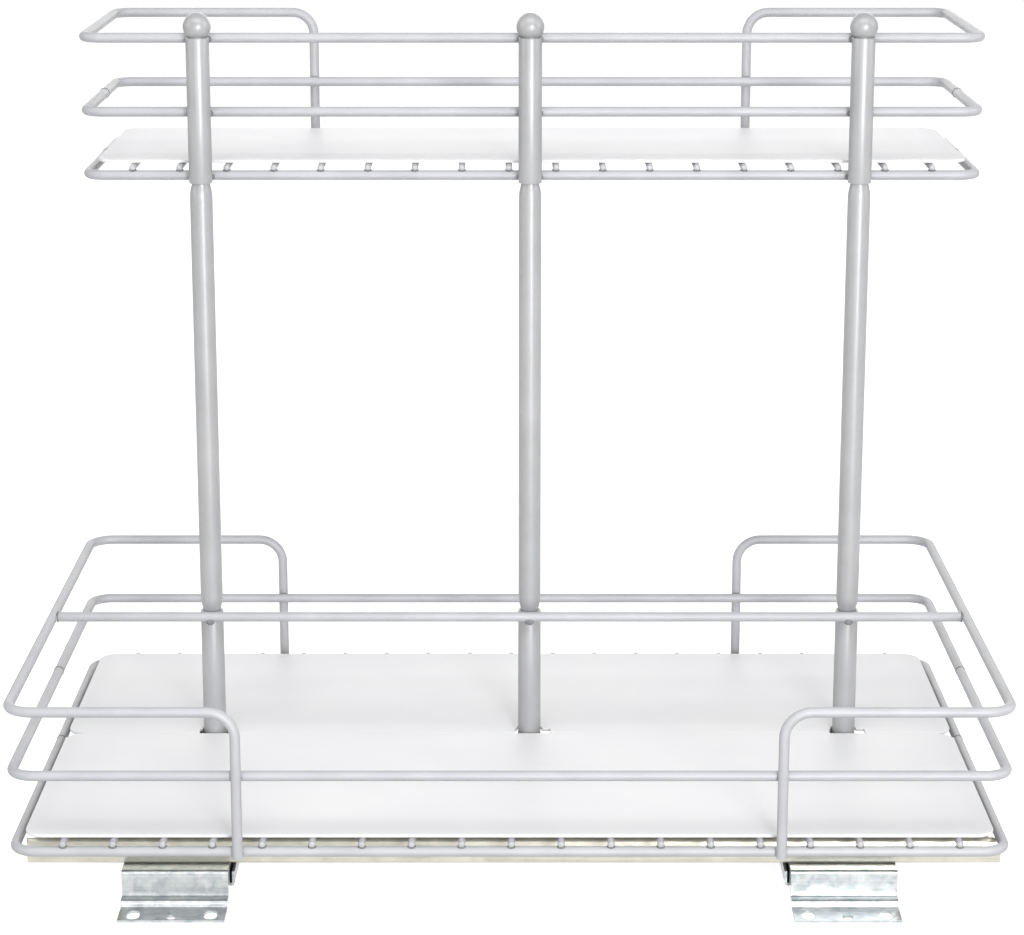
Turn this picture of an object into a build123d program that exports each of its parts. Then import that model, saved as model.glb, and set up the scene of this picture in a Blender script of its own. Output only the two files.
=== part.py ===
from build123d import *
import os
from math import atan, cos, degrees, radians, sin, tan

os.makedirs("parts", exist_ok=True)

# Two-tier wire organizer that pulls out along +X on two ball bearing slides laid flat.
# X is the slide direction, the front (-Y) is the long side seen in the photograph,
# and Z = 0 is the cabinet floor under the feet. All lengths are millimetres.

# Round stock is drawn with flat sides, and bends in a few flat steps, to keep the whole assembly light.
# The mounting slots and the pilot holes keep their true arcs.
frame_sides = 8
floor_sides = 8
post_sides = 12
rivet_sides = 8
ball_sides = 8
bend_steps = 3
sheet_bend_steps = 2
track_steps = 4
tab_bend_steps = 1
finial_sides = 16
half_turn = 180

# Wire stock
frame_wire = 4.8
floor_wire = 3.2
weld_set = 0.3

# Slides: three nested steel members with two pairs of ball rows
slide_length = 454
slide_width = 45
slide_thickness = 12.7
slide_sheet = 1.2
slide_shift_x = 2
slide_spacing = 188.8
outer_flange_height = 12.2
middle_inset = 3
inner_inset = 5
track_bulge = 0.9
track_height = 6.9
ball_diameter = 3.1
track_gap = 0.2
cage_sheet = 0.5
cage_gap = 0.3
cage_length = 200
cage_height = 9.6
cage_hole_gap = 0.15
balls_per_row = 2
ball_margin = 12
roll_radius = 0.9
lip_radius = 1.4
outer_track_chord = 5.2
middle_flange_height = 11.4
middle_neck = 0.8
middle_inner_neck = 0.6
middle_outer_chord = 3.2
middle_inner_chord = 2.6
middle_flange_least = 1.2
inner_track_chord = 3.2
inner_flange_tail = 0.3

# Pressed cross-members that carry the slides and stand on the floor
member_sheet = 1.2
member_width = 49.4
member_setback = 71.6
member_web_span = 249.6
ledge_depth = 5.9
foot_depth = 15.2
foot_drop = 3.3
web_height = 12.4
member_bend = 1
hem_depth = 10.4
hem_return = 7.2
hem_gap = 1.2
hem_setback = 7
slot_width = 5.9
slot_length = 10
slot_spacing = 35.7
slot_edge = 6.4
pilot_diameter = 4.8
pilot_edge = 3.6

# Rivets and tabs
rivet_diameter = 4
rivet_head = 7
rivet_crown = 4
rivet_head_height = 1.2
rivet_pitch = 24
tab_sheet = 1.2
tab_depth = 16
tab_seat = 12
tab_bend = 0.8
tab_bay_counts = (2, 9, 15)
fit = 0.1

# Lower basket
basket_length = 460
basket_width = 292
ring_corner = 10.5
loop_corner = 12
leg_bend = 12.5
ring_clearance = 0.2
mid_ring_rise = 36.7
loop_rise = 68.7
lower_leg_inset = 105.9
leg_tail = 1.5
butt_weld_shift = 12
lower_cross_count = 19
lower_cross_inset = 24.8
lower_cross_shift = 0.8

# Posts
post_y = 9.2
post_shift_x = 9.9
post_spacing = 159
sleeve_diameter = 11.3
post_diameter = 11
tube_wall = 1.2
lower_sleeve_rise = 70.3
upper_sleeve_foot = 2.6
upper_sleeve_height = 69.8
plug_depth = 24
shoulder_height = 5
finial_diameter = 13.4
finial_gap = 0.4
finial_neck = 9.4

# Upper basket, behind the posts
upper_length_step = 23
upper_shift_x = 10.8
upper_rise = 288
upper_mid_rise = 30.8
upper_rail_rise = 66.3
upper_leg_inset = 105.4
upper_corner = 9
upper_leg_bend = 11
upper_cross_count = 18
upper_cross_inset = 24.7
upper_cross_shift = 0.2

# Liners
liner_sheet = 1.5
liner_gap = 0.2
liner_corner = 9
liner_end_gap = 2.2
liner_side_gap = 0.6
liner_back_gap = 4.2
seam_gap = 0.5
notch_width = 18
notch_shift = 1.6
notch_depth = 7
relief_gap = 1.2

# Worked-out heights
rail_r = frame_wire / 2
floor_r = floor_wire / 2
member_top = member_sheet + foot_drop + web_height
slide_top = member_top + slide_thickness
ring_z = slide_top + ring_clearance + rail_r
mid_ring_z = ring_z + mid_ring_rise
loop_z = ring_z + loop_rise
floor_z = ring_z + rail_r + floor_r - weld_set
liner_z = floor_z + floor_r + liner_gap
upper_z = ring_z + upper_rise
upper_mid_z = upper_z + upper_mid_rise
upper_rail_z = upper_z + upper_rail_rise
upper_floor_z = upper_z + rail_r + floor_r - weld_set
upper_liner_z = upper_floor_z + floor_r + liner_gap

# Worked-out places in plan
end_x = basket_length / 2 - rail_r
loop_y = basket_width / 2 - rail_r
rail_y = loop_y - frame_wire + weld_set
sleeve_r = sleeve_diameter / 2
sleeve_rail_y = post_y - sleeve_r - rail_r + weld_set
upper_front_y = post_y + sleeve_r + rail_r - weld_set
upper_length = basket_length - upper_length_step
upper_end_x = upper_length / 2 - rail_r
lower_leg_x = basket_length / 2 - lower_leg_inset
upper_leg_x = upper_length / 2 - upper_leg_inset
lower_cross_run = basket_length - 2 * lower_cross_inset
upper_cross_run = upper_length - 2 * upper_cross_inset
upper_centre_y = (upper_front_y + rail_y) / 2
slide_y = slide_spacing / 2
post_xs = [post_shift_x + post_spacing * step for step in (-1, 0, 1)]
sides = {"front": -1, "back": 1}
ends = {"left": -1, "right": 1}
places = ("left", "centre", "right")

# Slide section, across from the centre line: each surface follows the one outside it
ball_r = ball_diameter / 2
outer_neck = slide_width / 2 - track_bulge
outer_ball_y = slide_width / 2 - slide_sheet - track_gap - ball_r
middle_groove = outer_ball_y - ball_r - track_gap
middle_outer_y = middle_groove + middle_neck
middle_inner_groove = middle_groove - middle_flange_least
middle_inner_y = middle_inner_groove - middle_inner_neck
inner_ball_y = middle_inner_groove - track_gap - ball_r
inner_groove = inner_ball_y - ball_r - track_gap
inner_neck = inner_groove + middle_neck
outer_cage_z = slide_sheet + cage_gap
middle_web_z = outer_cage_z + cage_sheet + cage_gap
inner_cage_z = middle_web_z + slide_sheet + cage_gap


def save(piece, name):
    """Label a finished piece and write it as its own file."""
    piece.part.label = name
    export_step(piece.part, f"parts/{name}.step")


def flat_round(radius, side_count):
    """A round section with flat sides that lie at the radius, the first ones square to the axes."""
    return RegularPolygon(radius, side_count, major_radius=False, rotation=half_turn / side_count)


def flat_reach(radius, side_count):
    """Half the length of one flat side of such a section."""
    return radius * tan(radians(half_turn / side_count))


def steps_along(arc, steps):
    """Points that share an arc out into equal steps, both its ends included."""
    return [arc @ (step / steps) for step in range(steps + 1)]


def bent_route(corners, radii, steps):
    """Points along straight runs whose rounded bends are taken in a few flat steps."""
    smooth = FilletPolyline(*corners, radius=radii)
    points = [smooth @ 0]
    for edge in smooth.wire().order_edges():
        points += steps_along(edge, steps if edge.geom_type == GeomType.CIRCLE else 1)[1:]
    return points


def bent_wire(points, close=False):
    """A frame wire along a route of points, with mitred steps."""
    with BuildPart() as piece:
        with BuildLine() as route:
            Polyline(*points, close=close)
        with BuildSketch(Plane(origin=points[0], z_dir=points[1] - points[0])):
            flat_round(rail_r, frame_sides)
        sweep(path=route.wire(), transition=Transition.RIGHT)
    return piece


def closed_ring(half_length, front_y, back_y, height, corner, centre_x=0):
    """A rounded rectangle of wire in two halves, butt welded in both ends behind mid depth."""
    left = centre_x - half_length
    right = centre_x + half_length
    weld_y = (front_y + back_y) / 2 + butt_weld_shift
    back_half = bent_route([(right, weld_y, height), (right, back_y, height), (left, back_y, height),
                            (left, weld_y, height)], corner, bend_steps)
    front_half = bent_route([(left, weld_y, height), (left, front_y, height), (right, front_y, height),
                             (right, weld_y, height)], corner, bend_steps)
    return bent_wire(back_half[:-1] + front_half[:-1], close=True)


def lengthwise_wire(centre_x, run, y, height):
    """One straight frame wire along X, set into the end wires that carry it."""
    with BuildPart() as piece:
        with BuildSketch(Plane(origin=(centre_x - run / 2, y, height), z_dir=(1, 0, 0))):
            flat_round(rail_r, frame_sides)
        extrude(amount=run)
    return piece


def cross_wires(first_x, pitch, count, front_y, back_y, height):
    """Floor wires across the basket, each end flush with the outside of the ring wire."""
    run = back_y - front_y + 2 * floor_r
    with BuildPart() as piece:
        with BuildSketch(Plane(origin=(0, back_y + floor_r, height), x_dir=(1, 0, 0), z_dir=(0, -1, 0))):
            with Locations(*[(first_x + pitch * place, 0) for place in range(count)]):
                flat_round(floor_r, floor_sides)
        extrude(amount=run)
    return piece


def turned(x, y, stations, bore):
    """A turned tube: outside radii at rising heights, and one bore right through."""
    with BuildPart() as piece:
        for radius, height in stations:
            with BuildSketch(Plane.XY.offset(height)):
                with Locations((x, y)):
                    flat_round(radius, post_sides)
        loft(ruled=True)
        with BuildSketch(Plane.XY.offset(stations[0][1])):
            with Locations((x, y)):
                flat_round(bore, post_sides)
        extrude(amount=stations[-1][1] - stations[0][1], mode=Mode.SUBTRACT)
    return piece


def sheet_outline(centre_line, gauge):
    """Outline of bent sheet: its centre line moved out by half the gauge to both sides, with mitred bends."""
    runs = [(after - before).normalized() for before, after in zip(centre_line, centre_line[1:])]
    left_side = []
    right_side = []
    for point, before, after in zip(centre_line, runs[:1] + runs, runs + runs[-1:]):
        along = (before + after).normalized()
        reach = Vector(-along.Y, along.X) * (gauge / 2 / along.dot(before))
        left_side.append(point + reach)
        right_side.append(point - reach)
    return left_side + right_side[::-1]


# Lower basket: two closed rings and two end loops
for name, height in (("lower_bottom_ring", ring_z), ("lower_mid_ring", mid_ring_z)):
    save(closed_ring(end_x, -rail_y, rail_y, height, ring_corner), name)

for end, sign in ends.items():
    leg_x = sign * lower_leg_x
    loop_x = sign * end_x
    route = bent_route(
        [(leg_x, -loop_y, ring_z - leg_tail), (leg_x, -loop_y, loop_z), (loop_x, -loop_y, loop_z),
         (loop_x, loop_y, loop_z), (leg_x, loop_y, loop_z), (leg_x, loop_y, ring_z - leg_tail)],
        [leg_bend, loop_corner, loop_corner, leg_bend], bend_steps)
    save(bent_wire(route), f"lower_end_loop_{end}")

# Lower basket floor: cross wires over the ring, and one wire under them along the posts
lower_first_x = lower_cross_shift - lower_cross_run / 2
lower_pitch = lower_cross_run / (lower_cross_count - 1)
save(cross_wires(lower_first_x, lower_pitch, lower_cross_count, -rail_y, rail_y, floor_z), "lower_cross_wires")

inner_run = 2 * (end_x - rail_r + weld_set)
save(lengthwise_wire(0, inner_run, post_y, ring_z), "lower_centre_wire")
save(lengthwise_wire(0, inner_run, sleeve_rail_y, loop_z), "sleeve_rail")

# Posts: sleeve on the basket, necked tube, sleeve on the upper basket, ball on top
lower_sleeve_z = ring_z + rail_r - weld_set
lower_sleeve_top = ring_z + lower_sleeve_rise
upper_sleeve_z = upper_z - upper_sleeve_foot
upper_sleeve_top = upper_sleeve_z + upper_sleeve_height
sleeve_bore = sleeve_r - tube_wall
neck_r = sleeve_bore - fit
post_r = post_diameter / 2
finial_r = finial_diameter / 2
finial_seat = upper_sleeve_top + finial_gap
finial_z = finial_seat + (finial_diameter ** 2 - finial_neck ** 2) ** 0.5 / 2
finial_flat = flat_reach(finial_r, finial_sides / 2)

for place, post_x in zip(places, post_xs):
    save(turned(post_x, post_y, [(sleeve_r, lower_sleeve_z), (sleeve_r, lower_sleeve_top)], sleeve_bore),
         f"lower_sleeve_{place}")
    save(turned(post_x, post_y, [(sleeve_r, upper_sleeve_z), (sleeve_r, upper_sleeve_top)], sleeve_bore),
         f"upper_sleeve_{place}")
    save(turned(post_x, post_y,
                [(neck_r, lower_sleeve_top - plug_depth), (neck_r, lower_sleeve_top),
                 (post_r, lower_sleeve_top + shoulder_height), (post_r, upper_sleeve_z - shoulder_height),
                 (neck_r, upper_sleeve_z), (neck_r, upper_sleeve_z + plug_depth)],
                neck_r - tube_wall), f"post_{place}")

    # The ball is cut from a prism in flats; every second group of its edges is level, the lowest stays sharp
    with BuildPart() as finial:
        with BuildSketch(Plane.XY.offset(finial_seat)):
            with Locations((post_x, post_y)):
                flat_round(finial_r, post_sides)
        extrude(amount=finial_z + finial_r - finial_seat)
        chamfer(finial.faces().sort_by(Axis.Z)[-1].edges(), length=finial_r - finial_flat)
        chamfer(finial.faces().sort_by(Axis.Z)[0].edges(), length=finial_r - finial_neck / 2)
        level_edges = [edge for group in finial.edges().group_by(Axis.Z)[2::2] for edge in group]
        chamfer(level_edges, length=finial_flat - flat_reach(finial_r, finial_sides))
        with BuildSketch(Plane.XY.offset(finial_seat)):
            with Locations((post_x, post_y)):
                flat_round(neck_r, post_sides)
        extrude(amount=-plug_depth / 2)
    save(finial, f"finial_{place}")

# Upper basket: two rings, and a top rail whose ends turn in and run down behind the rings
for name, height in (("upper_bottom_ring", upper_z), ("upper_mid_ring", upper_mid_z)):
    save(closed_ring(upper_end_x, upper_front_y, rail_y, height, upper_corner, upper_shift_x), name)

leg_left = upper_shift_x - upper_leg_x
leg_right = upper_shift_x + upper_leg_x
rail_left = upper_shift_x - upper_end_x
rail_right = upper_shift_x + upper_end_x
upper_leg_z = upper_z - leg_tail
save(bent_wire(bent_route(
    [(leg_left, loop_y, upper_leg_z), (leg_left, loop_y, upper_rail_z), (rail_left, loop_y, upper_rail_z),
     (rail_left, upper_front_y, upper_rail_z), (rail_right, upper_front_y, upper_rail_z),
     (rail_right, loop_y, upper_rail_z), (leg_right, loop_y, upper_rail_z), (leg_right, loop_y, upper_leg_z)],
    [upper_leg_bend, upper_corner, upper_corner, upper_corner, upper_corner, upper_leg_bend],
    bend_steps)), "upper_top_rail")

upper_first_x = upper_shift_x + upper_cross_shift - upper_cross_run / 2
save(cross_wires(upper_first_x, upper_cross_run / (upper_cross_count - 1), upper_cross_count, upper_front_y,
                 rail_y, upper_floor_z), "upper_cross_wires")
save(lengthwise_wire(upper_shift_x, 2 * (upper_end_x - rail_r + weld_set), upper_centre_y, upper_z),
     "upper_centre_wire")

# Liners: loose plastic sheets on the floor wires; the lower pair meets at the posts
liner_half = end_x - rail_r - liner_end_gap
liner_front_y = -rail_y + rail_r + liner_side_gap
liner_back_y = rail_y - rail_r - liner_back_gap
seam_y = post_y - sleeve_r - seam_gap
seam_half = seam_gap / 2


def plain_liner(height, half, front_y, back_y, centre_x=0):
    """One flat sheet with rounded corners."""
    with BuildPart() as sheet:
        with BuildSketch(Plane.XY.offset(height)):
            with Locations((centre_x, (front_y + back_y) / 2)):
                RectangleRounded(2 * half, back_y - front_y, liner_corner)
        extrude(amount=liner_sheet)
    return sheet


save(plain_liner(liner_z, liner_half, liner_front_y, seam_y - seam_half), "lower_liner_front")

with BuildPart() as lower_liner_back:
    with BuildSketch(Plane.XY.offset(liner_z)):
        with Locations((0, (seam_y + seam_half + liner_back_y) / 2)):
            RectangleRounded(2 * liner_half, liner_back_y - seam_y - seam_half, liner_corner)
        with Locations(*[(post_x + notch_shift, seam_y + notch_depth / 2) for post_x in post_xs]):
            Rectangle(notch_width, notch_depth, mode=Mode.SUBTRACT)
        with Locations(*[(post_x, post_y) for post_x in post_xs]):
            RegularPolygon(sleeve_r + relief_gap, post_sides, mode=Mode.SUBTRACT)
    extrude(amount=liner_sheet)
save(lower_liner_back, "lower_liner_back")

upper_liner_half = upper_end_x - rail_r - liner_end_gap
upper_liner_front = upper_front_y + rail_r + liner_side_gap
upper_liner_back = rail_y - rail_r - liner_side_gap
save(plain_liner(upper_liner_z, upper_liner_half, upper_liner_front, upper_liner_back, upper_shift_x),
     "upper_liner")

# Cross-members: one pressed sheet with a stepped foot at each end and a rolled hem
member_x = slide_length / 2 - member_setback
web_y = member_web_span / 2
ledge_y = web_y + ledge_depth
foot_y = ledge_y + foot_depth
ledge_z = member_sheet + foot_drop
hem_y = web_y - hem_setback
slot_y = foot_y - slot_edge
pilot_y = foot_y - pilot_edge
half_sheet = member_sheet / 2
rivet_r = rivet_diameter / 2
head_r = rivet_head / 2
rivet_cuts = [(sign * member_x, step * rivet_pitch / 2) for sign in (-1, 1) for step in (-1, 1)]

member_line = bent_route(
    [(-foot_y, half_sheet), (half_sheet - ledge_y, half_sheet), (half_sheet - ledge_y, ledge_z - half_sheet),
     (half_sheet - web_y, ledge_z - half_sheet), (half_sheet - web_y, member_top - half_sheet),
     (web_y - half_sheet, member_top - half_sheet), (web_y - half_sheet, ledge_z - half_sheet),
     (ledge_y - half_sheet, ledge_z - half_sheet), (ledge_y - half_sheet, half_sheet), (foot_y, half_sheet)],
    member_bend, sheet_bend_steps)
hem_r = (hem_gap + member_sheet) / 2
hem_floor = hem_r + half_sheet - hem_depth
hem_roll = ThreePointArc((-half_sheet, hem_floor), (hem_r - half_sheet, hem_floor - hem_r),
                         (2 * hem_r - half_sheet, hem_floor))
hem_line = [Vector(-half_sheet, -half_sheet), *steps_along(hem_roll, 2 * sheet_bend_steps),
            Vector(2 * hem_r - half_sheet, hem_return - hem_depth)]

for end, sign in ends.items():
    inner_x = sign * (member_x - member_width / 2)
    with BuildPart() as cross_member:
        with BuildSketch(Plane(origin=(sign * member_x - member_width / 2, 0, 0), x_dir=(0, 1, 0),
                               z_dir=(1, 0, 0))):
            with BuildLine():
                Polyline(*sheet_outline(member_line, member_sheet), close=True)
            make_face()
        extrude(amount=member_width)
        with BuildSketch(Plane(origin=(inner_x, -hem_y, member_top), x_dir=(-sign, 0, 0),
                               z_dir=(0, sign, 0))):
            with BuildLine():
                Polyline(*sheet_outline(hem_line, member_sheet), close=True)
            make_face()
        extrude(amount=sign * 2 * hem_y)
        for along_y in (-1, 1):
            with BuildSketch(Plane.XY):
                with Locations(*[(sign * member_x + step * slot_spacing / 2, along_y * slot_y)
                                 for step in (-1, 1)]):
                    SlotOverall(slot_length, slot_width, rotation=90)
                with Locations((sign * member_x, along_y * pilot_y)):
                    Circle(pilot_diameter / 2)
            extrude(amount=member_sheet, mode=Mode.SUBTRACT)
        with BuildSketch(Plane.XY.offset(member_top)):
            with Locations(*[(sign * member_x, along_y * slide_y + step * rivet_pitch / 2)
                             for along_y in (-1, 1) for step in (-1, 1)]):
                flat_round(rivet_r + fit, rivet_sides)
        extrude(amount=-member_sheet, mode=Mode.SUBTRACT)
    save(cross_member, f"cross_member_{end}")

# Slide sections, one half each
half_gauge = slide_sheet / 2
outer_wall = outer_neck - half_gauge
outer_rim = outer_flange_height - half_gauge
inner_wall = inner_neck - half_gauge
inner_crown = slide_thickness - half_gauge


def ball_track(neck, groove, chord):
    """Points of a ball track across the slide, from its lower edge to its upper edge."""
    return steps_along(ThreePointArc((neck, track_height - chord / 2), (groove, track_height),
                                     (neck, track_height + chord / 2)), track_steps)


outer_line = [
    Vector(0, half_gauge),
    *steps_along(TangentArc((outer_wall - roll_radius, half_gauge), (outer_wall, half_gauge + roll_radius),
                            tangent=(1, 0)), sheet_bend_steps),
    *ball_track(outer_wall, slide_width / 2 - half_gauge, outer_track_chord),
    *steps_along(TangentArc((outer_wall, outer_rim - lip_radius), (outer_wall - lip_radius, outer_rim),
                            tangent=(0, 1)), sheet_bend_steps)]

rim_r = (middle_outer_y - middle_inner_y) / 2
rim_z = middle_flange_height - rim_r
web_top = middle_web_z + slide_sheet
middle_outline = [
    Vector(0, middle_web_z),
    *steps_along(TangentArc((middle_outer_y - roll_radius, middle_web_z),
                            (middle_outer_y, middle_web_z + roll_radius), tangent=(1, 0)), sheet_bend_steps),
    *ball_track(middle_outer_y, middle_groove, middle_outer_chord),
    *steps_along(TangentArc((middle_outer_y, rim_z), (middle_inner_y, rim_z), tangent=(0, 1)),
                 2 * sheet_bend_steps),
    *ball_track(middle_inner_y, middle_inner_groove, middle_inner_chord)[::-1],
    Vector(middle_inner_y, web_top),
    Vector(0, web_top)]

inner_track = ball_track(inner_wall, inner_groove - half_gauge, inner_track_chord)[::-1]
inner_line = [
    Vector(0, inner_crown),
    *steps_along(TangentArc((inner_wall - roll_radius, inner_crown), (inner_wall, inner_crown - roll_radius),
                            tangent=(1, 0)), sheet_bend_steps),
    *inner_track,
    inner_track[-1] - Vector(0, inner_flange_tail)]


def slide_plane(sign, inset):
    """Section plane at the left end of a slide member."""
    return Plane(origin=(slide_shift_x - slide_length / 2 + inset, sign * slide_y, member_top),
                 x_dir=(0, 1, 0), z_dir=(1, 0, 0))


def slide_member(outline, sign, inset):
    """One slide member along X: half its section is drawn, and mirrored."""
    with BuildPart() as piece:
        with BuildSketch(slide_plane(sign, inset)):
            with BuildLine():
                Polyline(*outline, close=True)
            make_face()
            mirror(about=Plane.YZ)
        extrude(amount=slide_length - 2 * inset)
    return piece


flush_taper = degrees(atan((head_r - rivet_r) / slide_sheet))
tab_xs = [lower_first_x + lower_pitch * (bay + 0.5) for bay in tab_bay_counts]
ball_step = (cage_length - 2 * ball_margin) / (balls_per_row - 1)
ball_xs = [slide_shift_x - cage_length / 2 + ball_margin + ball_step * turn for turn in range(balls_per_row)]
ball_height = member_top + track_height
ball_facet = half_turn / ball_sides
ball_band_r = ball_r * cos(radians(ball_facet))
ball_band = ball_r * sin(radians(ball_facet))

for side, sign in sides.items():
    # Cabinet member: a channel whose side walls bulge round the outer ball rows
    with BuildPart() as outer_member:
        add(slide_member(sheet_outline(outer_line, slide_sheet), sign, 0).part)
        with BuildSketch(Plane(origin=(0, sign * slide_y, member_top + slide_sheet), x_dir=(1, 0, 0),
                               z_dir=(0, 0, -1))):
            with Locations(*rivet_cuts):
                flat_round(head_r, rivet_sides)
        extrude(amount=slide_sheet, taper=flush_taper, mode=Mode.SUBTRACT)
    save(outer_member, f"slide_outer_{side}")

    # Middle member: its flange is grooved on both faces, for an outer and an inner ball row
    save(slide_member(middle_outline, sign, middle_inset), f"slide_middle_{side}")

    # Basket member: a narrow channel upside down in the middle one
    with BuildPart() as inner_member:
        add(slide_member(sheet_outline(inner_line, slide_sheet), sign, inner_inset).part)
        with BuildSketch(Plane.XY.offset(slide_top)):
            with Locations(*[(tab_x, sign * slide_y) for tab_x in tab_xs]):
                flat_round(rivet_r + fit, rivet_sides)
        extrude(amount=-slide_sheet, mode=Mode.SUBTRACT)
    save(inner_member, f"slide_inner_{side}")

    # Ball cages: thin channels with a hole round every ball
    for row, row_y, cage_z in (("outer", outer_ball_y, outer_cage_z), ("inner", inner_ball_y, inner_cage_z)):
        cage_floor = cage_z + cage_sheet / 2
        cage_line = [Vector(-row_y, cage_height), Vector(-row_y, cage_floor), Vector(row_y, cage_floor),
                     Vector(row_y, cage_height)]
        with BuildPart() as cage:
            with BuildSketch(slide_plane(sign, (slide_length - cage_length) / 2)):
                with BuildLine():
                    Polyline(*sheet_outline(cage_line, cage_sheet), close=True)
                make_face()
            extrude(amount=cage_length)
            with BuildSketch(Plane(origin=(0, sign * slide_y, 0), x_dir=(1, 0, 0), z_dir=(0, -1, 0))):
                with Locations(*[(x, ball_height) for x in ball_xs]):
                    flat_round(ball_r + cage_hole_gap, ball_sides)
            extrude(amount=slide_width / 2, both=True, mode=Mode.SUBTRACT)
        save(cage, f"{row}_ball_cage_{side}")

        row_places = [(x, sign * slide_y + hand * row_y) for x in ball_xs for hand in (-1, 1)]
        with BuildPart() as balls:
            with BuildSketch(Plane.XY.offset(ball_height - ball_band_r)):
                with Locations(*row_places):
                    flat_round(ball_band_r, ball_sides)
            extrude(amount=2 * ball_band_r)
            chamfer(balls.faces().filter_by(Axis.Z).edges(), length=ball_band_r - ball_band)
        save(balls, f"{row}_balls_{side}")

# Tabs: small hat-shaped plates under two neighbouring floor wires, riveted to the basket members
tab_top = floor_z - floor_r + weld_set
tab_rise = tab_top - slide_top
tab_reach = lower_pitch / 2 + floor_r
tab_high = tab_rise - tab_sheet / 2
tab_low = tab_sheet / 2
tab_line = bent_route(
    [(-tab_reach, tab_high), (-tab_seat / 2, tab_high), (-tab_seat / 2, tab_low), (tab_seat / 2, tab_low),
     (tab_seat / 2, tab_high), (tab_reach, tab_high)], tab_bend, tab_bend_steps)
tab_places = [(tab_x, sign * slide_y) for tab_x in tab_xs for sign in sides.values()]

with BuildPart() as mounting_tabs:
    for tab_x, tab_y in tab_places:
        with BuildSketch(Plane(origin=(tab_x, tab_y + tab_depth / 2, slide_top), x_dir=(1, 0, 0),
                               z_dir=(0, -1, 0))):
            with BuildLine():
                Polyline(*sheet_outline(tab_line, tab_sheet), close=True)
            make_face()
        extrude(amount=tab_depth)
    with BuildSketch(Plane.XY.offset(slide_top)):
        with Locations(*tab_places):
            flat_round(rivet_r + fit, rivet_sides)
    extrude(amount=tab_sheet, mode=Mode.SUBTRACT)
save(mounting_tabs, "mounting_tabs")


def set_rivets(rivet_places, top, bottom, flush):
    """Set rivets: a shank between two faces, a formed head below, and a raised or a flush head on top."""
    raised_taper = degrees(atan((rivet_head - rivet_crown) / (2 * rivet_head_height)))
    with BuildPart() as piece:
        with BuildSketch(Plane.XY.offset(bottom)):
            with Locations(*rivet_places):
                flat_round(rivet_r, rivet_sides)
        extrude(amount=top - bottom)
        with BuildSketch(Plane(origin=(0, 0, bottom), x_dir=(1, 0, 0), z_dir=(0, 0, -1))):
            with Locations(*[(x, -y) for x, y in rivet_places]):
                flat_round(head_r, rivet_sides)
        extrude(amount=rivet_head_height, taper=raised_taper)
        if flush:
            with BuildSketch(Plane(origin=(0, 0, top), x_dir=(1, 0, 0), z_dir=(0, 0, -1))):
                with Locations(*[(x, -y) for x, y in rivet_places]):
                    flat_round(head_r, rivet_sides)
            extrude(amount=slide_sheet, taper=flush_taper)
        else:
            with BuildSketch(Plane.XY.offset(top)):
                with Locations(*rivet_places):
                    flat_round(head_r, rivet_sides)
            extrude(amount=rivet_head_height, taper=raised_taper)
    return piece


save(set_rivets(tab_places, slide_top + tab_sheet, slide_top - slide_sheet, False), "tab_rivets")
base_rivet_places = [(x, sign * slide_y + y) for sign in sides.values() for x, y in rivet_cuts]
save(set_rivets(base_rivet_places, member_top + slide_sheet, member_top - member_sheet, True), "base_rivets")
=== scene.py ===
"""Dresses the under sink organizer: two wire baskets and their posts on two flat ball bearing slides."""

import logging
import math
from dataclasses import dataclass, replace
from enum import Enum
from typing import ClassVar

import bmesh
import bpy
from mathutils import Matrix, Vector


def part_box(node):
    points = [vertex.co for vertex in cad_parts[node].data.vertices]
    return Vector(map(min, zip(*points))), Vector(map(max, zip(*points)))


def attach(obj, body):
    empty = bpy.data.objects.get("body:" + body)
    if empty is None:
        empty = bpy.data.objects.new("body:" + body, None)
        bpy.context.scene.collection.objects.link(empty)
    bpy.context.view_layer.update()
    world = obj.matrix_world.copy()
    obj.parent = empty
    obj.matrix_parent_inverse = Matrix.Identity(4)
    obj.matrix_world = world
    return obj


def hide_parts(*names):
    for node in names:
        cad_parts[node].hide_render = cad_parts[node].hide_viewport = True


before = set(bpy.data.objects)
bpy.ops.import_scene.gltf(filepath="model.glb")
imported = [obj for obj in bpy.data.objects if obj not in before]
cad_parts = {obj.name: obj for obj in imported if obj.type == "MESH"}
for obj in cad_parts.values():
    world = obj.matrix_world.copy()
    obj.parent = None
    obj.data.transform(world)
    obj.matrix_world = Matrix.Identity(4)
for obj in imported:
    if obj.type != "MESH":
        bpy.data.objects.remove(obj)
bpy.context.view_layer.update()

log = logging.getLogger("organizer")

MM = 0.001
MERGE_DISTANCE = 0.002 * MM
FLAT_ANGLE = math.radians(1)
SMOOTH_ANGLE = math.radians(48)
SHEET_EDGE_ANGLE = math.radians(60)
QUARTER_TURN = math.pi / 2
HALF_TURN = math.pi
FULL_TURN = 2 * math.pi


class Body(Enum):
    """The bodies that pieces ride on."""

    BASE = "base"
    BASKET = "basket"
    MIDDLE_FRONT = "middle_front"
    MIDDLE_BACK = "middle_back"
    OUTER_CAGE_FRONT = "outer_cage_front"
    OUTER_CAGE_BACK = "outer_cage_back"
    INNER_CAGE_FRONT = "inner_cage_front"
    INNER_CAGE_BACK = "inner_cage_back"
    FRONT_LINER = "front_liner"
    BACK_LINER = "back_liner"
    TOP_LINER = "top_liner"


class Slot(Enum):
    """The record's material slots."""

    WIRE = "wire_coating"
    POST = "post_coating"
    LINER = "liner_plastic"
    SLIDE = "slide_zinc"
    MEMBER = "member_zinc"
    BALL = "ball_steel"
    RIVET = "rivet_steel"


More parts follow.
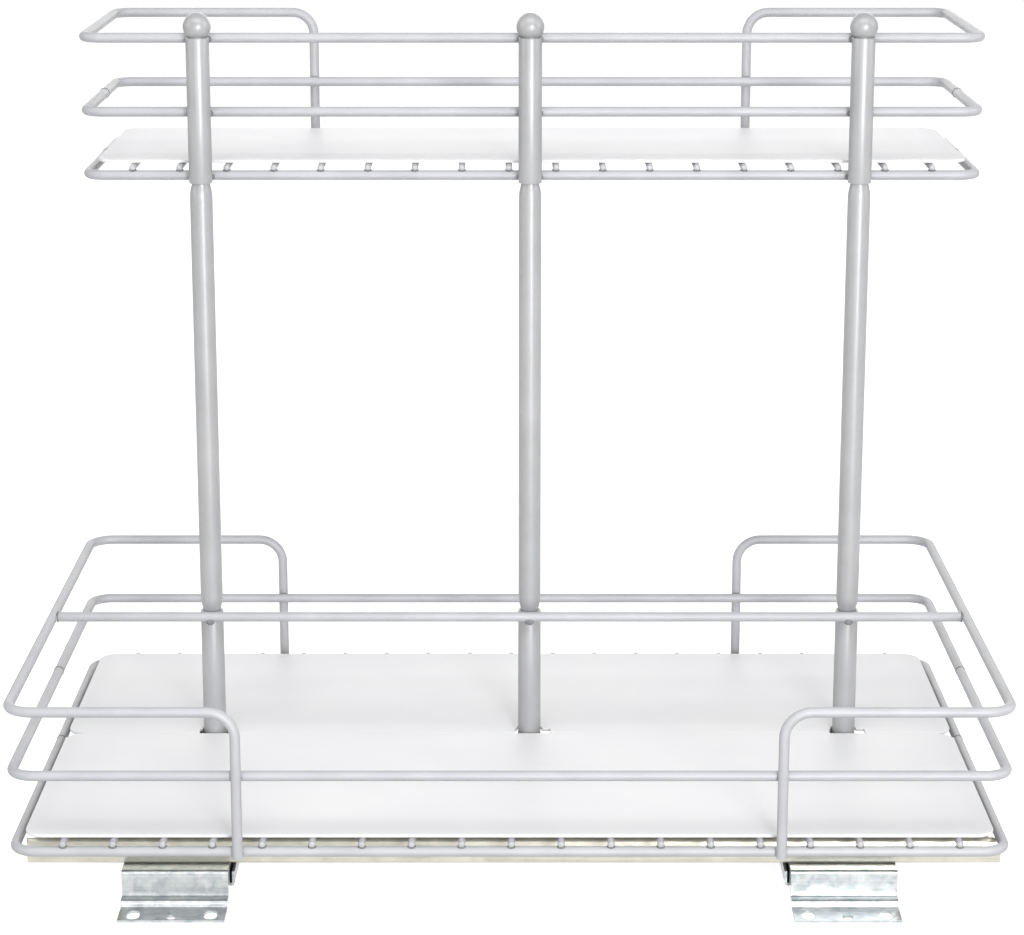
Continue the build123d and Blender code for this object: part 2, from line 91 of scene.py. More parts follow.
@dataclass(frozen=True)
class Box:
    """The box of one node of the frame, or of one solid in it."""

    low: Vector
    high: Vector

    @classmethod
    def of_node(cls, node: str) -> "Box":
        """Read a node's box from the frame.

        Args:
            node: the node's name.

        Returns:
            Its box at rest.
        """
        low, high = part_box(node)
        return cls(low, high)

    @property
    def middle(self) -> Vector:
        """The box's centre."""
        return (self.low + self.high) / 2

    @property
    def size(self) -> Vector:
        """The box's length along each axis."""
        return self.high - self.low


def boxes_of_solids(node: str) -> list[Box]:
    """Find the separate solids of a node.

    Args:
        node: the node's name.

    Returns:
        One box for each solid, from left to right and from front to back.
    """
    bm = merged_copy(node)
    waiting = set(bm.verts)
    boxes = []
    while waiting:
        reached = [waiting.pop()]
        corners = []
        while reached:
            vert = reached.pop()
            corners.append(vert.co.copy())
            near = {edge.other_vert(vert) for edge in vert.link_edges} & waiting
            waiting -= near
            reached.extend(near)
        boxes.append(Box(Vector([min(c[axis] for c in corners) for axis in range(3)]),
                         Vector([max(c[axis] for c in corners) for axis in range(3)])))
    bm.free()
    return sorted(boxes, key=lambda box: (round(box.middle.x, 4), round(box.middle.y, 4), box.middle.z))


def linear(hex_colour: str) -> tuple[float, float, float, float]:
    """Turn an sRGB colour to linear light.

    Args:
        hex_colour: six hex digits, with or without a leading mark.

    Returns:
        Linear red, green and blue, and full alpha.
    """
    digits = hex_colour.lstrip("#")
    shares = [int(digits[place:place + 2], 16) / 255 for place in (0, 2, 4)]
    lit = [share / 12.92 if share <= 0.04045 else ((share + 0.055) / 1.055) ** 2.4 for share in shares]
    return (lit[0], lit[1], lit[2], 1.0)


def add_node(tree: bpy.types.NodeTree, kind: str, settings: dict | None = None,
             inputs: dict | None = None) -> bpy.types.Node:
    """Add one shader node with its settings and links.

    Args:
        tree: the node tree.
        kind: the node's type.
        settings: attributes of the node.
        inputs: for a socket's name or number, its value or the socket to link from.

    Returns:
        The new node.
    """
    made = tree.nodes.new(kind)
    for key, value in (settings or {}).items():
        setattr(made, key, value)
    for key, value in (inputs or {}).items():
        if isinstance(value, bpy.types.NodeSocket):
            tree.links.new(value, made.inputs[key])
        else:
            made.inputs[key].default_value = value
    return made


def new_material(name: str) -> tuple[bpy.types.Material, bpy.types.NodeTree, bpy.types.Node]:
    """Make an empty node material.

    Args:
        name: the material's name.

    Returns:
        The material, its tree, and its shader, linked to the output.
    """
    material = bpy.data.materials.new(name)
    material.use_nodes = True
    tree = material.node_tree
    tree.nodes.clear()
    shader = add_node(tree, "ShaderNodeBsdfPrincipled")
    add_node(tree, "ShaderNodeOutputMaterial", inputs={"Surface": shader.outputs["BSDF"]})
    return material, tree, shader


def colour_steps(ramp: bpy.types.Node, stops: tuple[float, ...], colours: tuple[str, ...]) -> None:
    """Set the colours of a colour ramp.

    Args:
        ramp: the ramp node.
        stops: rising places along the ramp.
        colours: the sRGB colour at each place.
    """
    elements = ramp.color_ramp.elements
    while len(elements) < len(stops):
        elements.new(stops[1])
    for element, stop, colour in zip(elements, stops, colours):
        element.position = stop
        element.color = linear(colour)


def per_metre(size: float) -> float:
    """How many features of a size fit in a metre, which is a noise's scale."""
    return 1 / size


@dataclass(frozen=True)
class PowderCoat:
    """Silver epoxy powder coat, sprayed and baked on steel.

    To the eye it is an even satin grey with a very fine orange peel.
    """

    name: str
    pale: str
    deep: str
    metallic: float
    roughness: float
    peel: float = 0.7 * MM
    cloud: float = 24 * MM
    peel_height: float = 0.02 * MM
    peel_strength: float = 0.05
    peel_share: float = 0.22
    tint_stops: tuple[float, float] = (0.41, 0.81)
    roughness_spread: tuple[float, float] = (-0.05, 0.07)

    def build(self) -> bpy.types.Material:
        """Make the material.

        Returns:
            The new material.
        """
        material, tree, shader = new_material(self.name)
        place = add_node(tree, "ShaderNodeTexCoord").outputs["Object"]
        clouds = add_node(tree, "ShaderNodeTexNoise", inputs={
            "Vector": place, "Scale": per_metre(self.cloud), "Detail": 3.0, "Roughness": 0.55})
        flakes = add_node(tree, "ShaderNodeTexNoise", inputs={
            "Vector": place, "Scale": per_metre(self.peel), "Detail": 2.0, "Roughness": 0.6})
        blend = add_node(tree, "ShaderNodeMath", {"operation": "MULTIPLY_ADD"},
                         {0: flakes.outputs["Fac"], 1: self.peel_share})
        tree.links.new(clouds.outputs["Fac"], blend.inputs[2])
        ramp = add_node(tree, "ShaderNodeValToRGB", inputs={"Fac": blend.outputs["Value"]})
        colour_steps(ramp, self.tint_stops, (self.deep, self.pale))
        tree.links.new(ramp.outputs["Color"], shader.inputs["Base Color"])
        rough = add_node(tree, "ShaderNodeMapRange", inputs={
            "Value": flakes.outputs["Fac"],
            "To Min": self.roughness + self.roughness_spread[0],
            "To Max": self.roughness + self.roughness_spread[1]})
        tree.links.new(rough.outputs["Result"], shader.inputs["Roughness"])
        bump = add_node(tree, "ShaderNodeBump", inputs={
            "Strength": self.peel_strength, "Distance": self.peel_height, "Height": flakes.outputs["Fac"]})
        tree.links.new(bump.outputs["Normal"], shader.inputs["Normal"])
        shader.inputs["Metallic"].default_value = self.metallic
        return material


@dataclass(frozen=True)
class PlatedSteel:
    """Cold rolled steel, zinc plated and passivated, or plain and polished bright for the balls.

    To the eye it is a soft, clouded metal shine with the roll's fine streaks.
    """

    name: str
    pale: str
    middle: str
    deep: str
    roughness: float
    metallic: float = 0.75
    cloud: float = 14 * MM
    # Real roll streaks are a few hundredths of a millimetre wide. At this width they just show.
    streak_length: float = 60 * MM
    streak_width: float = 0.9 * MM
    spangle: float = 2.2 * MM
    streak_share: float = 0.5
    streak_height: float = 0.01 * MM
    streak_strength: float = 0.12
    # Painted shade: below a set height the plate darkens towards this colour, deeper and fainter in patches,
    # standing in for the shade in the tracks between nested members.
    painted_gap_shade: str = "5E5A4C"
    painted_shade_top: float | None = None
    painted_shade_fade: float = 0.35 * MM
    painted_shade_patch: float = 55 * MM
    painted_shade_patch_range: tuple[float, float] = (0.35, 0.6)
    faintest_painted_shade: float = 0.45
    tint_stops: tuple[float, float, float] = (0.34, 0.5, 0.66)
    roughness_spread: tuple[float, float] = (-0.05, 0.07)

    def add_painted_shade(self, tree: bpy.types.NodeTree, place: bpy.types.NodeSocket,
                plate: bpy.types.NodeSocket) -> bpy.types.NodeSocket:
        """Paint shade on the plate below a height, deeper and fainter in turns, for the shade in the tracks
        between nested members.

        Args:
            tree: the node tree.
            place: the object coordinates.
            plate: the colour of the plate.

        Returns:
            The colour with the grease on it.
        """
        height = add_node(tree, "ShaderNodeSeparateXYZ", inputs={"Vector": place})
        below = add_node(tree, "ShaderNodeMapRange", inputs={
            "Value": height.outputs["Z"],
            "From Min": self.painted_shade_top,
            "From Max": self.painted_shade_top - self.painted_shade_fade})
        patches = add_node(tree, "ShaderNodeTexNoise", inputs={
            "Vector": place, "Scale": per_metre(self.painted_shade_patch), "Detail": 2.0})
        shade_depth = add_node(tree, "ShaderNodeMapRange", inputs={
            "Value": patches.outputs["Fac"],
            "From Min": self.painted_shade_patch_range[0],
            "From Max": self.painted_shade_patch_range[1],
            "To Min": self.faintest_painted_shade,
            "To Max": 1.0})
        share = add_node(tree, "ShaderNodeMath", {"operation": "MULTIPLY"}, {
            0: below.outputs["Result"], 1: shade_depth.outputs["Result"]})
        shade_mix = add_node(tree, "ShaderNodeMix", {"data_type": "RGBA"}, {
            0: share.outputs["Value"], 6: plate, 7: linear(self.painted_gap_shade)})
        return shade_mix.outputs[2]

    def build(self) -> bpy.types.Material:
        """Make the material.

        Returns:
            The new material.
        """
        material, tree, shader = new_material(self.name)
        place = add_node(tree, "ShaderNodeTexCoord").outputs["Object"]
        along, across = per_metre(self.streak_length), per_metre(self.streak_width)
        stretched = add_node(tree, "ShaderNodeMapping", {"vector_type": "POINT"}, {
            "Vector": place, "Scale": (along, across, across)})
        streaks = add_node(tree, "ShaderNodeTexNoise", inputs={
            "Vector": stretched.outputs["Vector"], "Scale": 1.0, "Detail": 4.0, "Roughness": 0.65})
        clouds = add_node(tree, "ShaderNodeTexNoise", inputs={
            "Vector": place, "Scale": per_metre(self.cloud), "Detail": 5.0, "Roughness": 0.6,
            "Distortion": 0.6})
        spangles = add_node(tree, "ShaderNodeTexNoise", inputs={
            "Vector": place, "Scale": per_metre(self.spangle), "Detail": 2.0})
        shades = add_node(tree, "ShaderNodeMix", {"data_type": "FLOAT"}, {
            "Factor": self.streak_share, 2: clouds.outputs["Fac"], 3: streaks.outputs["Fac"]})
        ramp = add_node(tree, "ShaderNodeValToRGB", inputs={"Fac": shades.outputs[0]})
        colour_steps(ramp, self.tint_stops, (self.deep, self.middle, self.pale))
        plate = ramp.outputs["Color"]
        # Painted shade in the tracks, below the set height.
        if self.painted_shade_top is not None:
            plate = self.add_painted_shade(tree, place, plate)
        tree.links.new(plate, shader.inputs["Base Color"])
        rough = add_node(tree, "ShaderNodeMapRange", inputs={
            "Value": spangles.outputs["Fac"],
            "To Min": self.roughness + self.roughness_spread[0],
            "To Max": self.roughness + self.roughness_spread[1]})
        tree.links.new(rough.outputs["Result"], shader.inputs["Roughness"])
        bump = add_node(tree, "ShaderNodeBump", inputs={
            "Strength": self.streak_strength, "Distance": self.streak_height,
            "Height": streaks.outputs["Fac"]})
        tree.links.new(bump.outputs["Normal"], shader.inputs["Normal"])
        shader.inputs["Metallic"].default_value = self.metallic
        return material


@dataclass(frozen=True)
class PlasticSheet:
    """White polypropylene sheet, extruded between rollers.

    To the eye it is matt, near white and faintly pebbled.
    """

    name: str = "polypropylene_extruded_white"
    pale: str = "E8E8E9"
    deep: str = "E4E4E6"
    roughness: float = 0.5
    pebble: float = 0.8 * MM
    pebble_height: float = 0.015 * MM
    pebble_strength: float = 0.3
    cloud: float = 60 * MM
    tint_stops: tuple[float, float] = (0.35, 0.65)
    roughness_spread: tuple[float, float] = (-0.05, 0.08)

    def build(self) -> bpy.types.Material:
        """Make the material.

        Returns:
            The new material.
        """
        material, tree, shader = new_material(self.name)
        place = add_node(tree, "ShaderNodeTexCoord").outputs["Object"]
        clouds = add_node(tree, "ShaderNodeTexNoise", inputs={
            "Vector": place, "Scale": per_metre(self.cloud), "Detail": 2.0})
        pebbles = add_node(tree, "ShaderNodeTexNoise", inputs={
            "Vector": place, "Scale": per_metre(self.pebble), "Detail": 2.0})
        ramp = add_node(tree, "ShaderNodeValToRGB", inputs={"Fac": clouds.outputs["Fac"]})
        colour_steps(ramp, self.tint_stops, (self.deep, self.pale))
        tree.links.new(ramp.outputs["Color"], shader.inputs["Base Color"])
        rough = add_node(tree, "ShaderNodeMapRange", inputs={
            "Value": pebbles.outputs["Fac"],
            "To Min": self.roughness + self.roughness_spread[0],
            "To Max": self.roughness + self.roughness_spread[1]})
        tree.links.new(rough.outputs["Result"], shader.inputs["Roughness"])
        bump = add_node(tree, "ShaderNodeBump", inputs={
            "Strength": self.pebble_strength, "Distance": self.pebble_height,
            "Height": pebbles.outputs["Fac"]})
        tree.links.new(bump.outputs["Normal"], shader.inputs["Normal"])
        return material


@dataclass(frozen=True)
class WeldScale:
    """Steel weld metal under a thin coat.

    To the eye it is a darker, rougher grey than the wires that it joins.
    """

    name: str = "steel_weld_coated"
    pale: str = "8E8E90"
    deep: str = "686768"
    roughness: float = 0.7
    grain: float = 0.5 * MM
    grain_height: float = 0.06 * MM
    grain_strength: float = 0.5
    tint_stops: tuple[float, float] = (0.35, 0.65)

    def build(self) -> bpy.types.Material:
        """Make the material.

        Returns:
            The new material.
        """
        material, tree, shader = new_material(self.name)
        place = add_node(tree, "ShaderNodeTexCoord").outputs["Object"]
        grains = add_node(tree, "ShaderNodeTexNoise", inputs={
            "Vector": place, "Scale": per_metre(self.grain), "Detail": 3.0})
        ramp = add_node(tree, "ShaderNodeValToRGB", inputs={"Fac": grains.outputs["Fac"]})
        colour_steps(ramp, self.tint_stops, (self.deep, self.pale))
        tree.links.new(ramp.outputs["Color"], shader.inputs["Base Color"])
        bump = add_node(tree, "ShaderNodeBump", inputs={
            "Strength": self.grain_strength, "Distance": self.grain_height,
            "Height": grains.outputs["Fac"]})
        tree.links.new(bump.outputs["Normal"], shader.inputs["Normal"])
        shader.inputs["Roughness"].default_value = self.roughness
        return material


@dataclass(frozen=True)
class Finishes:
    """Every finish of the organizer, made once."""

    wire: bpy.types.Material
    post: bpy.types.Material
    liner: bpy.types.Material
    slide: bpy.types.Material
    middle_slide: bpy.types.Material
    inner_slide: bpy.types.Material
    member: bpy.types.Material
    ball: bpy.types.Material
    rivet: bpy.types.Material
    weld: bpy.types.Material
    track_rim_depth: ClassVar[float] = 0.8 * MM

    @classmethod
    def build(cls) -> "Finishes":
        """Make all the finishes.

        Returns:
            The finishes, ready to dress pieces.
        """
        passivated = PlatedSteel("zinc_plate_yellow_passivated", "D4D3C6", "C7C5B8", "AFADA0", 0.32)
        middle_rim = Box.of_node("slide_middle_front").high.z - cls.track_rim_depth
        inner_crown = Box.of_node("slide_inner_front").high.z - cls.track_rim_depth
        # The wires have the paler coat and the tubes the glossier one. Painted shade darkens the middle and
        # the inner slide members below their track rims, where the tracks lie in shade between the members.
        return cls(
            wire=PowderCoat("epoxy_powder_silver_wire", "B9BABD", "AEAFB2", 0.1, 0.5).build(),
            post=PowderCoat("epoxy_powder_silver_tube", "AAABAD", "A0A1A3", 0.2, 0.35).build(),
            liner=PlasticSheet().build(),
            slide=passivated.build(),
            middle_slide=replace(passivated, name="zinc_plate_yellow_painted_shade_middle",
                                 painted_shade_top=middle_rim).build(),
            inner_slide=replace(passivated, name="zinc_plate_yellow_painted_shade_inner",
                                painted_shade_top=inner_crown).build(),
            member=PlatedSteel("zinc_plate_blue_passivated", "C9CACA", "B5B9BA", "969EA2", 0.3,
                               metallic=0.95, streak_share=0.3, cloud=5 * MM, streak_strength=0.05).build(),
            ball=PlatedSteel("bearing_steel_polished", "DADADA", "CFCFCF", "C2C2C2", 0.14, metallic=1.0,
                             cloud=3 * MM).build(),
            rivet=PlatedSteel("zinc_plate_rivet", "D5D9DB", "C3C8CB", "AAB0B4", 0.34).build(),
            weld=WeldScale().build())


def merged_copy(node: str) -> bmesh.types.BMesh:
    """Copy a node's mesh and merge its loose triangles into whole flat faces.

    Args:
        node: the node's name.

    Returns:
        A new bmesh.
    """
    bm = bmesh.new()
    bm.from_mesh(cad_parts[node].data)
    bmesh.ops.remove_doubles(bm, verts=bm.verts[:], dist=MERGE_DISTANCE)
    bmesh.ops.dissolve_limit(bm, angle_limit=FLAT_ANGLE, use_dissolve_boundaries=False, verts=bm.verts[:],
                             edges=bm.edges[:])
    return bm


def present(bm: bmesh.types.BMesh, name: str, body: Body, material: bpy.types.Material,
            replaced: tuple[str, ...] = (), even_normals: bool = False) -> bpy.types.Object:
    """Turn finished mesh work into a piece of the organizer.

    Args:
        bm: the mesh work, freed here.
        name: the piece's name.
        body: the body that it rides on.
        material: its finish.
        replaced: the nodes that it stands for.
        even_normals: weight the shading by face area, for flat sheet with rounded edges.

    Returns:
        The piece.
    """
    bmesh.ops.recalc_face_normals(bm, faces=bm.faces[:])
    mesh = bpy.data.meshes.new(name)
    bm.to_mesh(mesh)
    bm.free()
    mesh.shade_smooth()
    mesh.set_sharp_from_angle(angle=SMOOTH_ANGLE)
    mesh.materials.append(material)
    piece = bpy.data.objects.new(name, mesh)
    bpy.context.scene.collection.objects.link(piece)
    if even_normals:
        weights = piece.modifiers.new("even_normals", "WEIGHTED_NORMAL")
        weights.keep_sharp = True
    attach(piece, body.value)
    if replaced:
        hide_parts(*replaced)
    log.info("%s rides on %s", name, body.value)
    return piece


def of_kind(parts: list, kind: type) -> list:
    """Keep only the mesh elements of one kind."""
    return [part for part in parts if isinstance(part, kind)]


@dataclass(frozen=True)
class WireStock:
    """Drawn wire as it comes to the bender."""

    radius: float
    sides: int
    quarter_steps: int = 10
    end_round: float = 0.5 * MM
    end_segments: int = 2

    def run_on(self, bm: bmesh.types.BMesh, loop: list, step: Vector) -> list:
        """Draw the wire's last ring of edges straight on.

        Args:
            bm: the mesh.
            loop: the ring of edges.
            step: how far.

        Returns:
            The new last ring.
        """
        grown = bmesh.ops.extrude_edge_only(bm, edges=loop)["geom"]
        verts = of_kind(grown, bmesh.types.BMVert)
        bmesh.ops.translate(bm, vec=step, verts=verts)
        far = set(verts)
        return [edge for edge in of_kind(grown, bmesh.types.BMEdge) if set(edge.verts) <= far]

    def close_end(self, bm: bmesh.types.BMesh, loop: list) -> None:
        """Close a cropped end and round its rim.

        Args:
            bm: the mesh.
            loop: the open ring of edges.
        """
        bmesh.ops.edgeloop_fill(bm, edges=loop)
        bmesh.ops.bevel(bm, geom=loop, offset=self.end_round, segments=self.end_segments, profile=0.5,
                        affect="EDGES", material=-1)

    def bend(self, bm: bmesh.types.BMesh, corners: list[Vector], radii: list[float]) -> None:
        """Add one bent wire, which closes on itself where its last corner is its first.

        Args:
            bm: the mesh to add it to.
            corners: the start, the corners of the route and the end.
            radii: the bend radius at each corner.
        """
        heading = (corners[1] - corners[0]).normalized()
        turned = heading.to_track_quat("Z", "Y").to_matrix().to_4x4()
        start = bmesh.ops.create_circle(bm, cap_ends=False, segments=self.sides, radius=self.radius,
                                        matrix=Matrix.Translation(corners[0]) @ turned)["verts"]
        first = list({edge for vert in start for edge in vert.link_edges})
        loop = first
        place = corners[0]
        for before, corner, after, radius in zip(corners, corners[1:], corners[2:], radii):
            into = (corner - before).normalized()
            out = (after - corner).normalized()
            turn = into.angle(out)
            setback = radius * math.tan(turn / 2)
            axis = into.cross(out).normalized()
            bend_start = corner - into * setback
            loop = self.run_on(bm, loop, bend_start - place)
            rim = list({vert for edge in loop for vert in edge.verts})
            steps = max(1, round(self.quarter_steps * turn / QUARTER_TURN))
            spun = bmesh.ops.spin(bm, geom=rim + loop, cent=bend_start + axis.cross(into) * radius,
                                  axis=axis, dvec=(0, 0, 0), angle=turn, steps=steps, use_merge=False,
                                  use_duplicate=False)
            loop = of_kind(spun["geom_last"], bmesh.types.BMEdge)
            place = corner + out * setback
        last = self.run_on(bm, loop, corners[-1] - place)
        if (corners[-1] - corners[0]).length < MERGE_DISTANCE:
            ends = start + list({vert for edge in last for vert in edge.verts})
            bmesh.ops.remove_doubles(bm, verts=ends, dist=MERGE_DISTANCE)
        else:
            self.close_end(bm, first)
            self.close_end(bm, last)

    def crop(self, bm: bmesh.types.BMesh, start: Vector, end: Vector) -> None:
        """Add one straight wire, cropped at both ends."""
        self.bend(bm, [start, end], [])


@dataclass(frozen=True)
class WeldBead:
    """A small bead of weld metal, or the flash that a resistance weld squeezes out."""

    around: int = 10
    rings: int = 6

    def add(self, bm: bmesh.types.BMesh, centre: Vector, half: tuple[float, float, float]) -> None:
        """Add one bead.

        Args:
            bm: the mesh to add it to.
            centre: its centre.
            half: its half length along each axis.
        """
        placed = Matrix.Translation(centre) @ Matrix.Diagonal((*half, 1.0))
        bmesh.ops.create_uvsphere(bm, u_segments=self.around, v_segments=self.rings, radius=1, matrix=placed)


FRAME_WIRE = WireStock(radius=2.4 * MM, sides=24)
FLOOR_WIRE = WireStock(radius=1.6 * MM, sides=16, end_round=0.9 * MM, end_segments=3)
BEAD = WeldBead()


def add_ring(bm: bmesh.types.BMesh, box: Box, corner: float, weld_shift: float) -> tuple[Vector, Vector]:
    """Add a closed rectangle of frame wire that fills a node's box.

    Args:
        bm: the mesh to add it to.
        box: the node's box.
        corner: the bend radius of the wire's centre line.
        weld_shift: how far behind mid depth its butt welds lie.

    Returns:
        The places of the butt welds, right and left.
    """
    inset = FRAME_WIRE.radius
    left, right = box.low.x + inset, box.high.x - inset
    front, back = box.low.y + inset, box.high.y - inset
    height = box.middle.z
    weld = Vector((right, box.middle.y + weld_shift, height))
    corners = [weld, Vector((right, back, height)), Vector((left, back, height)),
               Vector((left, front, height)), Vector((right, front, height)), weld]
    FRAME_WIRE.bend(bm, corners, [corner] * 4)
    return weld, Vector((left, weld.y, height))


def add_floor_wires(bm: bmesh.types.BMesh, box: Box, count: int) -> list[float]:
    """Add the cross wires of a basket floor.

    Args:
        bm: the mesh to add them to.
        box: their node's box.
        count: how many there are.

    Returns:
        The place of each along X.
    """
    first = box.low.x + FLOOR_WIRE.radius
    pitch = (box.size.x - 2 * FLOOR_WIRE.radius) / (count - 1)
    places = [first + pitch * turn for turn in range(count)]
    for x in places:
        FLOOR_WIRE.crop(bm, Vector((x, box.low.y, box.middle.z)), Vector((x, box.high.y, box.middle.z)))
    return places


def add_lengthwise_wire(bm: bmesh.types.BMesh, node: str) -> None:
    """Add the straight frame wire of a node that runs along X.

    Args:
        bm: the mesh to add it to.
        node: the node that it fills.
    """
    box = Box.of_node(node)
    FRAME_WIRE.crop(bm, Vector((box.low.x, box.middle.y, box.middle.z)),
                    Vector((box.high.x, box.middle.y, box.middle.z)))


@dataclass
class Basket:
    """What both wire baskets share: their rings, and the weld metal where their wires meet."""

    finishes: Finishes
    weld_shift: float = 12 * MM
    flash: tuple[float, float, float] = (2.1 * MM, 2.0 * MM, 0.7 * MM)
    butt_flash: tuple[float, float, float] = (2.75 * MM, 1.1 * MM, 2.75 * MM)
    leg_flash: tuple[float, float, float] = (2.6 * MM, 1.0 * MM, 2.6 * MM)

    def build_rings(self, nodes: tuple[str, ...], corner: float) -> list[Vector]:
        """Make the closed rings.

        Args:
            nodes: the ring nodes.
            corner: the bend radius of their corners.

        Returns:
            The places of their butt welds.
        """
        welds = []
        for node in nodes:
            bm = bmesh.new()
            welds += add_ring(bm, Box.of_node(node), corner, self.weld_shift)
            present(bm, f"{node}_wire", Body.BASKET, self.finishes.wire, (node,))
        return welds

    def crossings(self, places: list[float], ring: Box) -> list[Vector]:
        """Find where the cross wires lie on the bottom ring.

        Args:
            places: the place of each cross wire along X.
            ring: the ring's box.

        Returns:
            One place at the front and one at the back for each wire.
        """
        edges = (ring.low.y + FRAME_WIRE.radius, ring.high.y - FRAME_WIRE.radius)
        return [Vector((x, y, ring.high.z)) for x in places for y in edges]

    def add_flashes(self, bm: bmesh.types.BMesh, crossings: list[Vector], butt_welds: list[Vector]) -> None:
        """Add the flash of the cross wires and of the butt welds.

        Args:
            bm: the mesh to add it to.
            crossings: where the cross wires lie on the ring.
            butt_welds: where the rings are closed.
        """
        for place in crossings:
            BEAD.add(bm, place, self.flash)
        for place in butt_welds:
            BEAD.add(bm, place, self.butt_flash)


@dataclass
class LowerBasket(Basket):
    """The wide basket on the slides: two rings, an end loop at each end, and the floor wires."""

    rings: ClassVar[tuple[str, str]] = ("lower_bottom_ring", "lower_mid_ring")
    ring_corner: float = 10.5 * MM
    loop_corner: float = 12 * MM
    leg_bend: float = 12.5 * MM
    cross_count: int = 19
    rail_flash: tuple[float, float, float] = (0.9 * MM, 2.8 * MM, 2.8 * MM)

    def build(self) -> None:
        """Make every piece of the basket."""
        butt_welds = self.build_rings(self.rings, self.ring_corner)
        self.build_end_loops()
        crossings = self.build_floor()
        self.build_welds(butt_welds, crossings)

    def build_end_loops(self) -> None:
        """Make the loop at each end, one wire with a leg at both its ends."""
        for end, sign in (("left", -1), ("right", 1)):
            node = f"lower_end_loop_{end}"
            box = Box.of_node(node)
            inset = FRAME_WIRE.radius
            outer = (box.high.x if sign > 0 else box.low.x) - sign * inset
            inner = (box.low.x if sign > 0 else box.high.x) + sign * inset
            front, back = box.low.y + inset, box.high.y - inset
            top = box.high.z - inset
            corners = [Vector((inner, front, box.low.z)), Vector((inner, front, top)),
                       Vector((outer, front, top)), Vector((outer, back, top)), Vector((inner, back, top)),
                       Vector((inner, back, box.low.z))]
            bm = bmesh.new()
            FRAME_WIRE.bend(bm, corners, [self.leg_bend, self.loop_corner, self.loop_corner, self.leg_bend])
            present(bm, f"{node}_wire", Body.BASKET, self.finishes.wire, (node,))

    def build_floor(self) -> list[Vector]:
        """Make the floor wires, the centre wire and the sleeve rail.

        Returns:
            The places where the cross wires lie on the bottom ring.
        """
        bm = bmesh.new()
        places = add_floor_wires(bm, Box.of_node("lower_cross_wires"), self.cross_count)
        present(bm, "lower_floor_wires", Body.BASKET, self.finishes.wire, ("lower_cross_wires",))
        for node in ("lower_centre_wire", "sleeve_rail"):
            bm = bmesh.new()
            add_lengthwise_wire(bm, node)
            present(bm, f"{node}_round", Body.BASKET, self.finishes.wire, (node,))
        return self.crossings(places, Box.of_node("lower_bottom_ring"))

    def build_welds(self, butt_welds: list[Vector], crossings: list[Vector]) -> None:
        """Make the weld metal of the basket.

        Args:
            butt_welds: where the rings are closed.
            crossings: where the cross wires lie on the ring.
        """
        bm = bmesh.new()
        self.add_flashes(bm, crossings, butt_welds)
        for end, sign in (("left", -1), ("right", 1)):
            loop = Box.of_node(f"lower_end_loop_{end}")
            leg_x = (loop.low.x if sign > 0 else loop.high.x) + sign * FRAME_WIRE.radius
            outer_x = (loop.high.x if sign > 0 else loop.low.x) - sign * FRAME_WIRE.radius
            for node in self.rings:
                ring = Box.of_node(node)
                for y in (ring.low.y, ring.high.y):
                    BEAD.add(bm, Vector((leg_x, y, ring.middle.z)), self.leg_flash)
            rail = Box.of_node("sleeve_rail").middle
            BEAD.add(bm, Vector((outer_x - sign * FRAME_WIRE.radius, rail.y, rail.z)), self.rail_flash)
        present(bm, "lower_basket_welds", Body.BASKET, self.finishes.weld)


@dataclass
class UpperBasket(Basket):
    """The half-depth basket behind the posts: two rings, a top rail with two legs, and the floor wires."""

    rings: ClassVar[tuple[str, str]] = ("upper_bottom_ring", "upper_mid_ring")
    ring_corner: float = 9 * MM
    leg_bend: float = 11 * MM
    leg_offset: float = 113.1 * MM
    cross_count: int = 18

    def build(self) -> None:
        """Make every piece of the basket."""
        butt_welds = self.build_rings(self.rings, self.ring_corner)
        self.build_top_rail()
        crossings = self.build_floor()
        self.build_welds(butt_welds, crossings)

    def build_top_rail(self) -> None:
        """Make the top rail, whose ends turn in and run down behind the rings."""
        box = Box.of_node("upper_top_rail")
        inset = FRAME_WIRE.radius
        left, right = box.low.x + inset, box.high.x - inset
        front, back = box.low.y + inset, box.high.y - inset
        top, foot = box.high.z - inset, box.low.z
        leg_left, leg_right = box.middle.x - self.leg_offset, box.middle.x + self.leg_offset
        corners = [Vector((leg_left, back, foot)), Vector((leg_left, back, top)), Vector((left, back, top)),
                   Vector((left, front, top)), Vector((right, front, top)), Vector((right, back, top)),
                   Vector((leg_right, back, top)), Vector((leg_right, back, foot))]
        bm = bmesh.new()
        FRAME_WIRE.bend(bm, corners, [self.leg_bend] + [self.ring_corner] * 4 + [self.leg_bend])
        present(bm, "upper_top_rail_wire", Body.BASKET, self.finishes.wire, ("upper_top_rail",))

    def build_floor(self) -> list[Vector]:
        """Make the floor wires and the centre wire.

        Returns:
            The places where the cross wires lie on the bottom ring.
        """
        bm = bmesh.new()
        places = add_floor_wires(bm, Box.of_node("upper_cross_wires"), self.cross_count)
        present(bm, "upper_floor_wires", Body.BASKET, self.finishes.wire, ("upper_cross_wires",))
        bm = bmesh.new()
        add_lengthwise_wire(bm, "upper_centre_wire")
        present(bm, "upper_centre_wire_round", Body.BASKET, self.finishes.wire,
                ("upper_centre_wire",))
        return self.crossings(places, Box.of_node("upper_bottom_ring"))

    def build_welds(self, butt_welds: list[Vector], crossings: list[Vector]) -> None:
        """Make the weld metal of the basket.

        Args:
            butt_welds: where the rings are closed.
            crossings: where the cross wires lie on the ring.
        """
        bm = bmesh.new()
        self.add_flashes(bm, crossings, butt_welds)
        middle = Box.of_node("upper_top_rail").middle.x
        for node in self.rings:
            level = Box.of_node(node)
            for leg_x in (middle - self.leg_offset, middle + self.leg_offset):
                BEAD.add(bm, Vector((leg_x, level.high.y, level.middle.z)), self.leg_flash)
        present(bm, "upper_basket_welds", Body.BASKET, self.finishes.weld)


